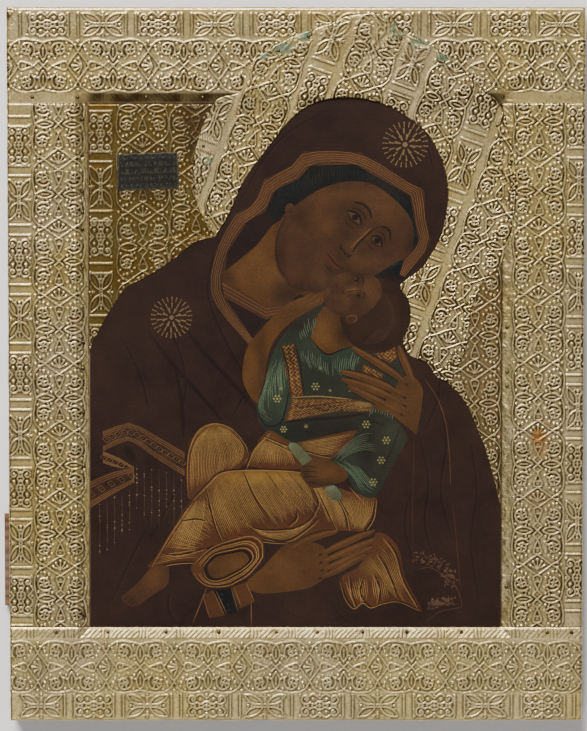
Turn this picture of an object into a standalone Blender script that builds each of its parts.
# Icon panel: a wooden board with a sunk picture field, dressed with embossed sheet metal.
# It lies on its back. X runs across the picture, Y up the picture, Z out of it.
# Lengths are in millimetres and become metres when a mesh is made.
import math

import bpy
from mathutils import Vector
from mathutils.geometry import delaunay_2d_cdt

MM = 0.001

# The board, its sunk field and the slope round it
PANEL_WIDTH = 706.0
PANEL_HEIGHT = 878.0
PANEL_THICKNESS = 34.0
MARGIN_LEFT = 98.0
MARGIN_RIGHT = 100.0
MARGIN_TOP = 116.0
MARGIN_BOTTOM = 115.0
SLOPE_WIDTH = 15.0
FIELD_DEPTH = 4.5

# The two tapered battens let into the back from opposite sides
BATTEN_PROUD = 6.0
BATTEN_SUNK = 8.0
BATTEN_FLARE = 3.0
LOWER_WIDE = 109.0
LOWER_NARROW = 92.0
LOWER_PLACE = 0.224
LOWER_OUT = 9.0
UPPER_WIDE = 125.0
UPPER_NARROW = 106.0
UPPER_PLACE = 0.773
UPPER_OUT = 3.0
BATTEN_SHY = 2.0
BATTEN_CHAMFER = 2.5

# The paint layer, the sheets and what holds them
GAP = 0.3
MERGE = 0.02
GROUND_THICKNESS = 0.8
SHEET_THICKNESS = 0.5
FOLD_DEPTH = 14.0
PLAQUE_WIDTH = 74.0
PLAQUE_HEIGHT = 45.0
NAIL_RADIUS = 2.3
NAIL_DOME = 1.1
SHANK_LENGTH = 9.0
SHANK_HALF = 0.7

# The embossed pattern
RELIEF = 1.3
SQUARE_PITCH = 70.8
SQUARE_ALONG = 23.0
SQUARE_ACROSS = 14.0
BAR_SPACING = 12.0
BAR_WIDTH = 3.0
SCROLL_PITCH = 84.6
SCROLL_HALF = 33.0
DROP_END = 0.89
SQUARE_INSET = 15.5
SCROLL_INSET = 66.0
HALO_SLANT = 19.5
HALO_REPEAT = 103.0
HALO_SCROLL_STEP = 53.0

# Free outlines, in percent of the sunk field's width and height from its lower left corner
MARGIN_STEPS = 18
HALO_CENTRE = (64.3, 86.15)
HALO_RADII = (38.8, 30.45)
HALO_FOOT = (30.7, 75.0)
HALO_FOOT_ANGLE = 196
HALO_TOP_LEFT = [(36.5, 102.0), (39.5, 108.1), (44.3, 110.6), (49.9, 112.9), (58.7, 115.2),
                 (62.1, 116.3), (72.8, 116.3), (75.5, 114.2), (83.8, 110.6), (88.9, 107.4)]
HALO_RIGHT = [(101.9, 74.3), (101.2, 72.0), (99.0, 68.4), (95.7, 66.1), (94.2, 63.6), (92.9, 61.4),
              (92.3, 57.7), (91.7, 54.3), (90.1, 51.4)]
HALO_TIP = (87.6, 46.9)
HEAD_EDGE = [(34.0, 78.7), (37.8, 85.6), (43.4, 91.5), (49.2, 97.2), (55.0, 99.9), (62.1, 101.4),
             (70.2, 100.3), (76.5, 97.9), (81.9, 94.4), (85.5, 89.4), (87.1, 83.9), (86.6, 79.1),
             (85.0, 74.3), (80.4, 68.6), (75.5, 65.5), (77.4, 62.7), (77.9, 59.7), (77.4, 57.3),
             (76.2, 54.8), (77.4, 52.3), (81.7, 50.9), (84.2, 48.2)]
LEFT_SHOULDER = [(25.6, 73.7), (22.4, 71.5), (18.5, 69.3), (13.4, 66.9), (9.3, 65.3), (7.0, 62.8),
                 (4.1, 59.5), (2.3, 56.9)]
LEFT_SHOULDER_END = 53.0
RIGHT_SHOULDER = [(92.6, 41.2), (94.2, 38.2), (95.7, 35.1), (97.1, 31.9), (98.3, 28.3)]
RIGHT_SHOULDER_END = 24.0
PLAQUE_CENTRE = (14.3, 87.2)

# Nails: shares of the field's width or height along each row
TOP_ROW = [0.141, 0.277]
BOTTOM_ROW = [0.044, 0.186, 0.314, 0.454, 0.554, 0.665, 0.773, 0.905]
LEFT_ROW = [0.023, 0.197, 0.31, 0.413, 0.497, 0.546, 0.69, 0.761, 0.794, 0.833, 0.902, 0.97]
RIGHT_ROW = [0.078, 0.462, 0.49, 0.575]
HALO_NAILS = [(46.0, 109.9), (53.2, 112.6), (75.4, 112.2), (85.7, 107.8), (98.9, 95.8), (27.9, 91.9),
              (91.6, 62.1), (88.2, 50.6), (101.9, 88.5)]
TOP_ROW_INSET = 7.5
BOTTOM_ROW_INSET = 6.0
SIDE_ROW_INSET = 7.0
# Nails past the ends of the two rows: distances out from the field's corner
TOP_LEFT_OUT = [68.0, 12.6]
TOP_RIGHT_OUT = [0.5]
BOTTOM_LEFT_OUT = [41.5]
BOTTOM_RIGHT_OUT = [58.0, 88.0]

# Levels and edges that follow from the sizes
BACK = BATTEN_PROUD
FRONT = BACK + PANEL_THICKNESS
CENTRE_X = (LOWER_OUT - UPPER_OUT) / 2
BOARD_LEFT = CENTRE_X - PANEL_WIDTH / 2
BOARD_RIGHT = CENTRE_X + PANEL_WIDTH / 2
BOARD_LOW = -PANEL_HEIGHT / 2
BOARD_HIGH = PANEL_HEIGHT / 2
FIELD_LEFT = BOARD_LEFT + MARGIN_LEFT
FIELD_RIGHT = BOARD_RIGHT - MARGIN_RIGHT
FIELD_LOW = BOARD_LOW + MARGIN_BOTTOM
FIELD_HIGH = BOARD_HIGH - MARGIN_TOP
STRIP_LIFT = GAP
HALO_LIFT = 2 * GAP + max(SHEET_THICKNESS, GROUND_THICKNESS)
FOLD_OUT = GAP + SHEET_THICKNESS


def field_point(share):
    """Place in percent of the sunk field. Past its top, each percent is a step up the top margin."""
    x = FIELD_LEFT + (FIELD_RIGHT - FIELD_LEFT) * share[0] / 100
    y = FIELD_LOW + (FIELD_HIGH - FIELD_LOW) * min(share[1], 100) / 100
    return (x, y + MARGIN_TOP * max(share[1] - 100, 0) / MARGIN_STEPS)


def wood_level(x, y):
    """Height of the board's front: flat border, straight slope, sunk field."""
    inside = min(x - FIELD_LEFT, FIELD_RIGHT - x, y - FIELD_LOW, FIELD_HIGH - y) + SLOPE_WIDTH
    share = max(0.0, min(1.0, inside / SLOPE_WIDTH))
    return FRONT - FIELD_DEPTH * share


def slope_lines():
    """Edges of the slope: its outer and inner rectangles and the four corner lines."""
    def corners(grow):
        return [(FIELD_LEFT - grow, FIELD_LOW - grow), (FIELD_RIGHT + grow, FIELD_LOW - grow),
                (FIELD_RIGHT + grow, FIELD_HIGH + grow), (FIELD_LEFT - grow, FIELD_HIGH + grow)]
    outer = corners(SLOPE_WIDTH)
    inner = corners(0.0)
    lines = []
    for i in range(4):
        lines.append((outer[i], outer[(i + 1) % 4]))
        lines.append((inner[i], inner[(i + 1) % 4]))
        lines.append((outer[i], inner[i]))
    return lines


def inside_loop(point, loop):
    """Even-odd test of a point against a closed loop."""
    x, y = point
    inside = False
    for i in range(len(loop)):
        ax, ay = loop[i - 1]
        bx, by = loop[i]
        if (ay > y) != (by > y) and x < (bx - ax) * (y - ay) / (by - ay) + ax:
            inside = not inside
    return inside


def crossing(a, b, c, d):
    """Shares along a-b and c-d where they cross, or None."""
    ux, uy = b[0] - a[0], b[1] - a[1]
    vx, vy = d[0] - c[0], d[1] - c[1]
    turn = ux * vy - uy * vx
    if abs(turn) < 1e-9:
        return None
    wx, wy = c[0] - a[0], c[1] - a[1]
    s = (wx * vy - wy * vx) / turn
    t = (wx * uy - wy * ux) / turn
    if -1e-7 <= s <= 1 + 1e-7 and -1e-7 <= t <= 1 + 1e-7:
        return s, t
    return None


def along(a, b, share):
    return (a[0] + (b[0] - a[0]) * share, a[1] + (b[1] - a[1]) * share)


def cut_lines_to_loop(lines, loop, folded):
    """Clip lines to a loop. Gives the loop with the cut points added and the inner pieces."""
    cuts = {i: [] for i in range(len(loop))}
    pieces = []
    for a, b in lines:
        marks = [0.0, 1.0]
        for i in range(len(loop)):
            hit = crossing(a, b, loop[i], loop[(i + 1) % len(loop)])
            if hit:
                marks.append(hit[0])
                length = math.dist(loop[i], loop[(i + 1) % len(loop)])
                if MERGE < hit[1] * length < length - MERGE:
                    cuts[i].append(hit[1])
        marks.sort()
        for low, high in zip(marks, marks[1:]):
            if high - low > 1e-6 and inside_loop(along(a, b, (low + high) / 2), loop):
                pieces.append((along(a, b, low), along(a, b, high)))
    new_loop = []
    new_folds = []
    for i in range(len(loop)):
        new_loop.append(loop[i])
        new_folds.append(folded[i])
        last = 0.0
        length = math.dist(loop[i], loop[(i + 1) % len(loop)])
        for share in sorted(cuts[i]):
            if (share - last) * length > MERGE:
                new_loop.append(along(loop[i], loop[(i + 1) % len(loop)], share))
                new_folds.append(folded[i])
            last = share
    return new_loop, new_folds, pieces


class Net:
    """Points and edges that a flat triangulation has to keep."""

    def __init__(self):
        self.points = []
        self.heights = []
        self.edges = []

    def point(self, place, height=0.0):
        for i in range(len(self.points)):
            if math.dist(self.points[i], place) < MERGE:
                return i
        self.points.append(place)
        self.heights.append(height)
        return len(self.points) - 1

    def line(self, a, b):
        if a != b:
            self.edges.append((a, b))

    def loop(self, places, height=0.0):
        ids = [self.point(p, height) for p in places]
        for i in range(len(ids)):
            self.line(ids[i], ids[(i + 1) % len(ids)])
        return ids

    def triangles(self, outline, holes):
        """Triangles inside the outline and outside the holes, as point numbers, turning left."""
        flat = [Vector(p) for p in self.points]
        verts, _, faces, sources, _, _ = delaunay_2d_cdt(flat, self.edges, [], 0, 1e-5)
        if len(verts) != len(flat):
            raise ValueError("lines of the net cross each other")
        found = []
        for face in faces:
            ids = [sources[v][0] for v in face]
            x = sum(self.points[i][0] for i in ids) / 3
            y = sum(self.points[i][1] for i in ids) / 3
            if not inside_loop((x, y), outline) or any(inside_loop((x, y), h) for h in holes):
                continue
            a, b, c = [self.points[i] for i in ids]
            if (b[0] - a[0]) * (c[1] - a[1]) - (b[1] - a[1]) * (c[0] - a[0]) < 0:
                ids.reverse()
            found.append(ids)
        return found


def make_object(name, verts, faces, material):
    mesh = bpy.data.meshes.new(name)
    mesh.from_pydata([(x * MM, y * MM, z * MM) for x, y, z in verts], [], faces)
    mesh.update()
    mesh.materials.append(material)
    piece = bpy.data.objects.new(name, mesh)
    bpy.context.scene.collection.objects.link(piece)
    return piece


def fold_insets(loop, folded):
    """Step inwards from each point of a loop that lies on a folded edge."""
    steps = []
    for i in range(len(loop)):
        step = [0.0, 0.0]
        seen = []
        for start, end, fold in ((i - 1, i, folded[i - 1]), (i, (i + 1) % len(loop), folded[i])):
            if not fold:
                continue
            dx = loop[end][0] - loop[start][0]
            dy = loop[end][1] - loop[start][1]
            length = math.hypot(dx, dy)
            inward = (round(-dy / length, 6), round(dx / length, 6))
            if inward not in seen:
                seen.append(inward)
                step[0] += inward[0] * SHEET_THICKNESS
                step[1] += inward[1] * SHEET_THICKNESS
        steps.append(tuple(step))
    return steps


def sheet(name, outline, lift, thickness, material, nails=(), raised=(), folded=None):
    """Sheet that follows the board's front, pierced by nails, with raised forms on it.

    The outline turns left. A folded edge is carried down over the board's side.
    """
    folded = folded or [False] * len(outline)
    loop, folds, creases = cut_lines_to_loop(slope_lines(), outline, folded)
    steps = fold_insets(loop, folds)
    under_loop = [(p[0] + s[0], p[1] + s[1]) for p, s in zip(loop, steps)]
    holes = [square(n, SHANK_HALF + GAP) for n in nails if inside_loop(n, outline)]

    top = Net()
    top_loop = top.loop(loop)
    top_holes = [top.loop(h) for h in holes]
    for a, b in creases:
        top.line(top.point(a), top.point(b))
    for form, ridge, height in raised:
        top.loop(form)
        spine = [top.point(p, height) for p in ridge]
        for i in range(len(spine) - 1):
            top.line(spine[i], spine[i + 1])
    under = Net()
    under_ids = under.loop(under_loop)
    under_holes = [under.loop(h) for h in holes]
    moved = {tuple(round(c, 4) for c in p): q for p, q in zip(loop, under_loop)}
    for a, b in creases:
        a = moved.get(tuple(round(c, 4) for c in a), a)
        b = moved.get(tuple(round(c, 4) for c in b), b)
        under.line(under.point(a), under.point(b))

    verts = []
    for (x, y), height in zip(top.points, top.heights):
        verts.append((x, y, wood_level(x, y) + lift + thickness + height))
    base = len(verts)
    for x, y in under.points:
        verts.append((x, y, wood_level(x, y) + lift))
    faces = [tuple(t) for t in top.triangles(loop, holes)]
    faces += [tuple(base + i for i in reversed(t)) for t in under.triangles(under_loop, holes)]
    for upper, lower in zip(top_holes, under_holes):
        for i in range(len(upper)):
            j = (i + 1) % len(upper)
            faces.append((upper[i], upper[j], base + lower[j], base + lower[i]))
    faces += side_faces(verts, loop, under_loop, folds, top_loop, [base + i for i in under_ids])
    return make_object(name, verts, faces, material)


def side_faces(verts, loop, under_loop, folds, upper, lower):
    """Edge of a sheet: a plain rim, or a fold with its outer, low and inner faces."""
    count = len(loop)
    outer = {}
    inner = {}
    bottom = FRONT - FOLD_DEPTH
    for i in range(count):
        if folds[i] or folds[i - 1]:
            outer[i] = len(verts)
            verts.append((loop[i][0], loop[i][1], bottom))
            inner[i] = len(verts)
            verts.append((under_loop[i][0], under_loop[i][1], bottom))
    faces = []
    for i in range(count):
        j = (i + 1) % count
        if folds[i]:
            faces.append((upper[j], upper[i], outer[i], outer[j]))
            faces.append((outer[j], outer[i], inner[i], inner[j]))
            faces.append((inner[j], inner[i], lower[i], lower[j]))
            continue
        rim = [upper[j], upper[i]]
        if i in outer:
            rim += [outer[i], inner[i]]
        rim += [lower[i], lower[j]]
        if j in outer:
            rim += [inner[j], outer[j]]
        faces.append(tuple(rim))
    return faces


def square(centre, half):
    x, y = centre
    return [(x - half, y - half), (x + half, y - half), (x + half, y + half), (x - half, y + half)]


def rectangle(left, low, right, high):
    return [(left, low), (right, low), (right, high), (left, high)]


def arc(centre, radius, start, end, count):
    """Points of a circle from one angle to another, in degrees."""
    points = []
    for i in range(count + 1):
        angle = math.radians(start + (end - start) * i / count)
        points.append((centre[0] + radius * math.cos(angle), centre[1] + radius * math.sin(angle)))
    return points


def leaf(start, end, half):
    """Raised pointed leaf between two places, with a ridge along its middle."""
    (ax, ay), (bx, by) = start, end
    length = math.hypot(bx - ax, by - ay)
    nx, ny = (ay - by) / length * half, (bx - ax) / length * half
    mx, my = (ax + bx) / 2, (ay + by) / 2
    form = [start, (mx - nx, my - ny), end, (mx + nx, my + ny)]
    ridge = [along(start, end, 0.35), along(start, end, 0.65)]
    return (form, ridge, RELIEF)


def boss(centre, radius, sides):
    """Raised round boss with a point in its middle."""
    return (arc(centre, radius, 0, 360 - 360 / sides, sides - 1), [centre], RELIEF)


def flower(along_half, across_half):
    """Four leaves on the diagonals of a square."""
    forms = []
    for sx in (-1, 1):
        for sy in (-1, 1):
            tip = (sx * along_half * 0.95, sy * across_half * 0.95)
            root = (sx * along_half * 0.14, sy * across_half * 0.14)
            forms.append(leaf(root, tip, across_half * 0.3))
    return forms


def rosette(along_half, across_half):
    """Four scrolls in the corners of a square."""
    forms = []
    for sx in (-1, 1):
        for sy in (-1, 1):
            forms.append(boss((sx * along_half * 0.56, sy * across_half * 0.55), across_half * 0.42, 5))
    return forms


def bars():
    """The pair of bars between two squares."""
    forms = []
    for side in (-1, 1):
        low = side * BAR_SPACING / 2 - BAR_WIDTH / 2
        form = rectangle(low, -SQUARE_ACROSS * 0.9, low + BAR_WIDTH, SQUARE_ACROSS * 0.9)
        middle = side * BAR_SPACING / 2
        ridge = [(middle, -SQUARE_ACROSS * 0.8), (middle, SQUARE_ACROSS * 0.8)]
        forms.append((form, ridge, RELIEF))
    return forms


def scroll_unit(half, pitch):
    """One repeat of the scroll band: two leaves across, two drops, four scrolls and a fan."""
    forms = []
    for side in (-1, 1):
        forms.append(leaf((0, side * half * 0.18), (0, side * half * 0.85), half * 0.12))
        tip = (side * half * 0.33, 0)
        wide = side * half * 0.7
        end = (side * half * DROP_END, 0)
        drop = [tip, (wide, -half * 0.15), end, (wide, half * 0.15)]
        forms.append((drop if side > 0 else drop[::-1], [(wide, 0)], RELIEF))
        for across in (-1, 1):
            forms.append(boss((side * half * 0.56, across * half * 0.58), half * 0.26, 5))
    edge = pitch / 2
    reach = (edge - half * DROP_END) * 0.7
    fan = [(edge - reach, 0), (edge, -half * 0.3), (edge + reach, 0), (edge, half * 0.3)]
    forms.append((fan, [(edge, 0)], RELIEF))
    return forms


def turned(form, origin, angle):
    """Carry a raised form to a place on a band that runs at an angle."""
    outline, ridge, height = form
    c, s = math.cos(angle), math.sin(angle)

    def carry(p):
        return (origin[0] + p[0] * c - p[1] * s, origin[1] + p[0] * s + p[1] * c)
    return ([carry(p) for p in outline], [carry(p) for p in ridge], height)


def squares_band(start, end, first_flower=True):
    """Squares with flowers and rosettes in turn, parted by pairs of bars."""
    length = math.dist(start, end)
    count = max(1, round(length / SQUARE_PITCH))
    angle = math.atan2(end[1] - start[1], end[0] - start[0])
    forms = []
    for i in range(count):
        centre = along(start, end, (i + 0.5) / count)
        motif = flower if (i % 2 == 0) == first_flower else rosette
        forms += [turned(f, centre, angle) for f in motif(SQUARE_ALONG, SQUARE_ACROSS)]
        if i > 0:
            forms += [turned(f, along(start, end, i / count), angle) for f in bars()]
    return forms


def scroll_band(start, end, half=SCROLL_HALF):
    """Scroll repeats from one end of a band to the other."""
    length = math.dist(start, end)
    count = max(1, round(length / SCROLL_PITCH))
    angle = math.atan2(end[1] - start[1], end[0] - start[0])
    forms = []
    for i in range(count):
        centre = along(start, end, (i + 0.5) / count)
        forms += [turned(f, centre, angle) for f in scroll_unit(half, length / count)]
    return forms


def distance_to_loop(point, loop):
    best = 1e9
    for i in range(len(loop)):
        (ax, ay), (bx, by) = loop[i - 1], loop[i]
        dx, dy = bx - ax, by - ay
        share = ((point[0] - ax) * dx + (point[1] - ay) * dy) / (dx * dx + dy * dy)
        share = max(0.0, min(1.0, share))
        best = min(best, math.hypot(point[0] - ax - dx * share, point[1] - ay - dy * share))
    return best


def fitting(forms, outline, nails, covers=()):
    """Raised forms that lie wholly on a sheet, off its creases, its nails and what covers it."""
    creases = slope_lines()
    kept = []
    for form, ridge, height in forms:
        if not all(inside_loop(p, outline) and distance_to_loop(p, outline) > 1.0 for p in form):
            continue
        edges = [(form[i - 1], form[i]) for i in range(len(form))]
        if any(crossing(a, b, c, d) for a, b in edges for c, d in creases):
            continue
        reach = NAIL_RADIUS + 1.0
        if any(inside_loop(n, form) or distance_to_loop(n, form) < reach for n in nails):
            continue
        if any(inside_loop(p, cover) or distance_to_loop(p, cover) < 1.0
               for p in form for cover in covers):
            continue
        kept.append((form, ridge, height))
    return kept


def batten_half(place, wide, narrow, wide_left):
    """Half width of a batten at a place along X; it narrows evenly across the board."""
    share = (place - BOARD_LEFT) / PANEL_WIDTH
    if not wide_left:
        share = 1 - share
    return (wide + (narrow - wide) * share) / 2


def batten(name, centre, wide, narrow, wide_left, start, end, material):
    """Batten with a dovetail section, standing proud of the board's back."""
    verts = []
    for x in (start, end):
        half = batten_half(x, wide, narrow, wide_left)
        root = BACK + BATTEN_SUNK
        section = [(-half + BATTEN_CHAMFER, 0), (half - BATTEN_CHAMFER, 0), (half, BATTEN_CHAMFER),
                   (half, BACK), (half + BATTEN_FLARE, root), (-half - BATTEN_FLARE, root),
                   (-half, BACK), (-half, BATTEN_CHAMFER)]
        verts += [(x, centre + y, z) for y, z in section]
    count = len(verts) // 2
    faces = [tuple(range(count))[::-1], tuple(range(count, 2 * count))]
    for i in range(count):
        j = (i + 1) % count
        faces.append((i, j, count + j, count + i))
    return make_object(name, verts, faces, material)


def back_section(x, battens):
    """Board's back at a place along X, from low to high Y, with both dovetail grooves."""
    section = [(BOARD_LOW, BACK)]
    for centre, wide, narrow, wide_left in sorted(battens):
        half = batten_half(x, wide, narrow, wide_left) + GAP
        root = BACK + BATTEN_SUNK + GAP
        section += [(centre - half, BACK), (centre - half - BATTEN_FLARE, root),
                    (centre + half + BATTEN_FLARE, root), (centre + half, BACK)]
    section.append((BOARD_HIGH, BACK))
    return section


def board(material, nails, battens):
    """Board with a sunk field, blind nail holes in front and two grooves behind."""
    outline = rectangle(BOARD_LEFT, BOARD_LOW, BOARD_RIGHT, BOARD_HIGH)
    holes = [square(n, SHANK_HALF + GAP) for n in nails]
    net = Net()
    corner_ids = net.loop(outline)
    hole_ids = [net.loop(h) for h in holes]
    for a, b in slope_lines():
        net.line(net.point(a), net.point(b))
    verts = [(x, y, wood_level(x, y)) for x, y in net.points]
    faces = [tuple(t) for t in net.triangles(outline, holes)]
    for ids, hole, nail in zip(hole_ids, holes, nails):
        floor = nail_base(nail) - SHANK_LENGTH - GAP
        base = len(verts)
        verts += [(x, y, floor) for x, y in hole]
        faces.append(tuple(base + i for i in range(4)))
        for i in range(4):
            j = (i + 1) % 4
            faces.append((ids[i], ids[j], base + j, base + i))
    sections = []
    for x in (BOARD_LEFT, BOARD_RIGHT):
        section = back_section(x, battens)
        sections.append([len(verts) + i for i in range(len(section))])
        verts += [(x, y, z) for y, z in section]
    left, right = sections
    for i in range(len(left) - 1):
        faces.append((left[i], left[i + 1], right[i + 1], right[i]))
    low_left, low_right, high_right, high_left = corner_ids
    faces.append(tuple([low_left, high_left] + left[::-1]))
    faces.append(tuple([high_right, low_right] + right))
    faces.append((low_left, left[0], right[0], low_right))
    faces.append((high_right, right[-1], left[-1], high_left))
    return make_object("wood_panel", verts, faces, material)


def on_halo(nail):
    return inside_loop(nail, HALO_LOOP)


def nail_base(nail):
    """Underside of a nail's head: it clears the highest sheet below it."""
    lift = (HALO_LIFT if on_halo(nail) else STRIP_LIFT) + SHEET_THICKNESS
    ring = arc(nail, NAIL_RADIUS, 0, 300, 5)
    return max(wood_level(x, y) for x, y in ring) + lift + GAP


def nail_piece(number, nail, material):
    """Nail with a low six-sided head and a square pointed shank."""
    base = nail_base(nail)
    x, y = nail
    sides = 6
    verts = [(px, py, base) for px, py in arc(nail, NAIL_RADIUS, 45, 345, sides - 1)]
    verts.append((x, y, base + NAIL_DOME))
    neck = len(verts)
    verts += [(px, py, base) for px, py in square(nail, SHANK_HALF)]
    verts += [(px, py, base - SHANK_LENGTH * 0.7) for px, py in square(nail, SHANK_HALF)]
    verts.append((x, y, base - SHANK_LENGTH))
    faces = [(i, (i + 1) % sides, sides) for i in range(sides)]
    for i in range(4):
        upper, lower = neck + i, neck + 4 + i
        next_upper, next_lower = neck + (i + 1) % 4, neck + 4 + (i + 1) % 4
        faces.append((next_upper, upper, lower, next_lower))
        faces.append((next_lower, lower, neck + 8))
    # flat underside between the head's six corners and the shank's four
    a, b, c, d = neck, neck + 1, neck + 2, neck + 3
    faces += [(1, 0, c), (2, 1, c, d), (3, 2, d, a), (4, 3, a), (5, 4, a, b), (0, 5, b, c)]
    return make_object(f"nail_{number:02d}", verts, faces, material)


def halo_arc(start, end, count):
    """Round stretch of the halo's edge between two angles, in degrees."""
    circle = arc((0, 0), 1, start, end, count)
    return [field_point((HALO_CENTRE[0] + c * HALO_RADII[0], HALO_CENTRE[1] + s * HALO_RADII[1]))
            for c, s in circle]


def halo_angle(y):
    """Angle above the halo's centre line at which its edge reaches a height."""
    middle = field_point(HALO_CENTRE)[1]
    rise = HALO_RADII[1] * (FIELD_HIGH - FIELD_LOW) / 100
    return math.degrees(math.asin((y - middle) / rise))


def halo_outline():
    """Outer edge of the halo, right foot to left foot, then back along the head."""
    right = [field_point(p) for p in HALO_RIGHT]
    outer = right[::-1] + halo_arc(-8, 30, 4)
    outer += [field_point(p) for p in HALO_TOP_LEFT[::-1]]
    outer += halo_arc(180 - halo_angle(FIELD_HIGH), HALO_FOOT_ANGLE, 5)
    inner = [field_point(p) for p in HEAD_EDGE]
    return [field_point(HALO_TIP)] + outer + [field_point(HALO_FOOT)] + inner


def background_left_outline():
    """Sheet left of the head: field corner, halo edge, then down the shoulder."""
    high = FIELD_HIGH - 2 * GAP
    left = FIELD_LEFT + 2 * GAP
    edge = halo_arc(180 - halo_angle(high), HALO_FOOT_ANGLE - 1, 5)
    edge = [(x - 3 * GAP, y) for x, y in edge]
    shoulder = [field_point(p) for p in LEFT_SHOULDER]
    low = (left, field_point((0, LEFT_SHOULDER_END))[1])
    return [(left, high), low] + shoulder[::-1] + edge[::-1]


def background_right_outline():
    """Sheet right of the halo, down to the right shoulder."""
    right = FIELD_RIGHT - 2 * GAP
    edge = [field_point(p) for p in HALO_RIGHT if p[0] < 100]
    edge = [(x + 3 * GAP, y - GAP) for x, y in edge]
    tip = field_point(HALO_TIP)
    shoulder = [field_point(p) for p in RIGHT_SHOULDER]
    low = (right, field_point((0, RIGHT_SHOULDER_END))[1])
    high = (right, edge[0][1] + 4.0)
    return [high] + edge + [(tip[0] + 3 * GAP, tip[1] - GAP)] + shoulder + [low]


def halo_pattern():
    """Bands side by side across the halo, leaning to the left as they go down."""
    slant = math.radians(HALO_SLANT)
    run = Vector((-math.sin(slant), -math.cos(slant)))
    across = Vector((math.cos(slant), -math.sin(slant)))
    centre = Vector(field_point(HALO_CENTRE))
    forms = []
    for step in range(-2, 3):
        squares = centre + across * (HALO_REPEAT * step - HALO_REPEAT * 0.35)
        scrolls = squares + across * HALO_SCROLL_STEP
        reach = 3.5 * SQUARE_PITCH
        forms += squares_band(squares - run * reach, squares + run * reach, step % 2 == 0)
        reach = 3 * SCROLL_PITCH
        forms += scroll_band(scrolls - run * reach, scrolls + run * reach, SCROLL_HALF * 0.95)
    return forms


def material(name, colour, roughness, metallic):
    made = bpy.data.materials.new(name)
    made.use_nodes = True
    shader = made.node_tree.nodes["Principled BSDF"]
    shader.inputs["Base Color"].default_value = (*colour, 1.0)
    shader.inputs["Roughness"].default_value = roughness
    shader.inputs["Metallic"].default_value = metallic
    return made


def all_nails():
    """Places of the nails, row by row."""
    width = FIELD_RIGHT - FIELD_LEFT
    height = FIELD_HIGH - FIELD_LOW
    top_row = [FIELD_LEFT - out for out in TOP_LEFT_OUT]
    top_row += [FIELD_LEFT + s * width for s in TOP_ROW]
    top_row += [FIELD_RIGHT + out for out in TOP_RIGHT_OUT]
    bottom_row = [FIELD_LEFT - out for out in BOTTOM_LEFT_OUT]
    bottom_row += [FIELD_LEFT + s * width for s in BOTTOM_ROW]
    bottom_row += [FIELD_RIGHT + out for out in BOTTOM_RIGHT_OUT]
    places = [(x, FIELD_HIGH + TOP_ROW_INSET) for x in top_row]
    places += [(x, FIELD_LOW - BOTTOM_ROW_INSET) for x in bottom_row]
    places += [(FIELD_LEFT - SIDE_ROW_INSET, FIELD_LOW + s * height) for s in LEFT_ROW]
    places += [(FIELD_RIGHT + SIDE_ROW_INSET, FIELD_LOW + s * height) for s in RIGHT_ROW]
    return places + [field_point(p) for p in HALO_NAILS]


def border_sheets(gilt, nails):
    """Four embossed strips, each folded over the board's edge."""
    left = BOARD_LEFT - FOLD_OUT
    right = BOARD_RIGHT + FOLD_OUT
    low = BOARD_LOW - FOLD_OUT
    high = BOARD_HIGH + FOLD_OUT
    halo = [HALO_LOOP]

    loop = rectangle(left, FIELD_HIGH, right, high)
    forms = squares_band((left, high - SQUARE_INSET), (right, high - SQUARE_INSET), False)
    forms += scroll_band((left, high - SCROLL_INSET), (right, high - SCROLL_INSET))
    sheet("border_top", loop, STRIP_LIFT, SHEET_THICKNESS, gilt, strip_nails(nails, loop),
          fitting(forms, loop, nails, halo), [False, True, True, True])

    loop = rectangle(left, low, right, FIELD_LOW)
    forms = squares_band((left, low + SQUARE_INSET), (right, low + SQUARE_INSET))
    forms += scroll_band((left, low + SCROLL_INSET), (right, low + SCROLL_INSET))
    sheet("border_bottom", loop, STRIP_LIFT, SHEET_THICKNESS, gilt, strip_nails(nails, loop),
          fitting(forms, loop, nails), [True, True, False, True])

    foot = FIELD_LOW + GAP
    head = FIELD_HIGH - GAP
    loop = rectangle(left, foot, FIELD_LEFT, head)
    squares = left + SQUARE_INSET
    scrolls = FIELD_LEFT - MARGIN_LEFT + SCROLL_INSET - 3.0
    forms = squares_band((squares, foot), (squares, head), False)
    forms += scroll_band((scrolls, foot), (scrolls, head), SCROLL_HALF * 0.9)
    sheet("border_left", loop, STRIP_LIFT, SHEET_THICKNESS, gilt, strip_nails(nails, loop),
          fitting(forms, loop, nails), [False, False, False, True])

    loop = rectangle(FIELD_RIGHT, foot, right, head)
    squares = right - SQUARE_INSET
    scrolls = FIELD_RIGHT + MARGIN_RIGHT - SCROLL_INSET + 5.0
    forms = squares_band((squares, foot), (squares, head), False)
    forms += scroll_band((scrolls, foot), (scrolls, head), SCROLL_HALF * 0.9)
    sheet("border_right", loop, STRIP_LIFT, SHEET_THICKNESS, gilt, strip_nails(nails, loop),
          fitting(forms, loop, nails, halo), [False, True, False, False])


def strip_nails(nails, loop):
    return [n for n in nails if inside_loop(n, loop)]


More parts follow.
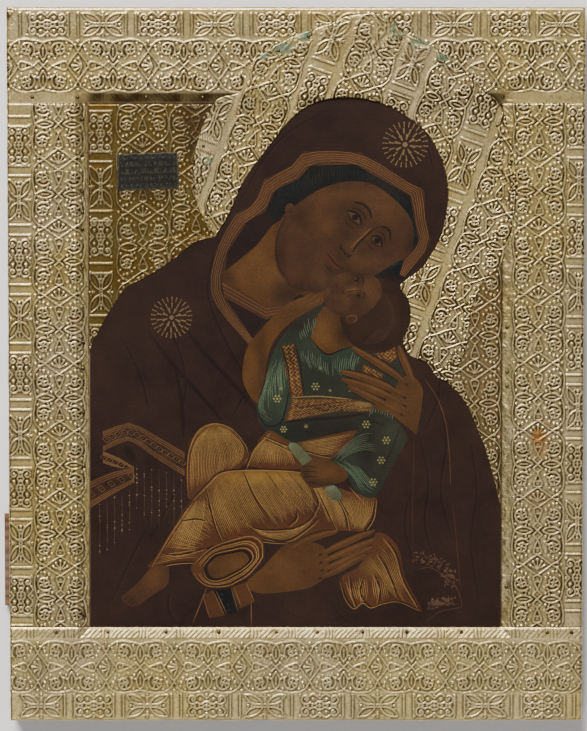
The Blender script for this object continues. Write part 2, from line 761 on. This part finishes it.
def field_sheets(gilt, worn, nails):
    """The sheets round the figure: darker ones left and right, the halo over them."""
    centre = field_point(PLAQUE_CENTRE)
    plaque = rectangle(centre[0] - PLAQUE_WIDTH / 2, centre[1] - PLAQUE_HEIGHT / 2,
                       centre[0] + PLAQUE_WIDTH / 2, centre[1] + PLAQUE_HEIGHT / 2)
    loop = background_left_outline()
    squares = FIELD_LEFT + SQUARE_INSET
    scrolls = FIELD_LEFT + SCROLL_INSET
    forms = squares_band((squares, FIELD_HIGH), (squares, FIELD_HIGH - 5 * SQUARE_PITCH), False)
    forms += scroll_band((scrolls, FIELD_HIGH), (scrolls, FIELD_HIGH - 4 * SCROLL_PITCH))
    sheet("background_left", loop, HALO_LIFT, SHEET_THICKNESS, worn, (),
          fitting(forms, loop, nails, [plaque]))

    loop = background_right_outline()
    scrolls = FIELD_RIGHT - SCROLL_HALF
    forms = scroll_band((scrolls, FIELD_HIGH), (scrolls, FIELD_HIGH - 6 * SCROLL_PITCH))
    sheet("background_right", loop, HALO_LIFT, SHEET_THICKNESS, worn, (), fitting(forms, loop, nails))

    halo_nails = [n for n in nails if on_halo(n)]
    sheet("halo", HALO_LOOP, HALO_LIFT, SHEET_THICKNESS, gilt, halo_nails,
          fitting(halo_pattern(), HALO_LOOP, nails))
    black = material("blackened_plate", (0.03, 0.03, 0.035), 0.6, 0.6)
    sheet("title_plaque", plaque, HALO_LIFT + SHEET_THICKNESS + GAP, SHEET_THICKNESS, black)


for leftover in list(bpy.data.objects):
    bpy.data.objects.remove(leftover)

HALO_LOOP = halo_outline()


def build():
    wood = material("old_wood", (0.16, 0.09, 0.05), 0.75, 0.0)
    batten_wood = material("batten_wood", (0.09, 0.05, 0.03), 0.8, 0.0)
    paint = material("painted_ground", (0.09, 0.05, 0.04), 0.5, 0.0)
    gilt = material("gilt_sheet", (0.62, 0.5, 0.28), 0.35, 1.0)
    worn = material("worn_gilt_sheet", (0.3, 0.2, 0.09), 0.45, 1.0)
    iron = material("nail_metal", (0.3, 0.25, 0.18), 0.5, 1.0)

    nails = all_nails()
    lower_y = BOARD_LOW + LOWER_PLACE * PANEL_HEIGHT
    upper_y = BOARD_LOW + UPPER_PLACE * PANEL_HEIGHT
    battens = [(lower_y, LOWER_WIDE, LOWER_NARROW, True), (upper_y, UPPER_WIDE, UPPER_NARROW, False)]
    board(wood, nails, battens)
    batten("batten_lower", *battens[0], BOARD_LEFT - LOWER_OUT, BOARD_RIGHT - BATTEN_SHY, batten_wood)
    batten("batten_upper", *battens[1], BOARD_LEFT + BATTEN_SHY, BOARD_RIGHT + UPPER_OUT, batten_wood)

    field = rectangle(FIELD_LEFT + GAP, FIELD_LOW + GAP, FIELD_RIGHT - GAP, FIELD_HIGH - GAP)
    field_nails = [n for n in nails if inside_loop(n, field)]
    sheet("painted_ground", field, GAP, GROUND_THICKNESS, paint, field_nails)
    border_sheets(gilt, nails)
    field_sheets(gilt, worn, nails)
    for number, nail in enumerate(nails, 1):
        nail_piece(number, nail, iron)


build()
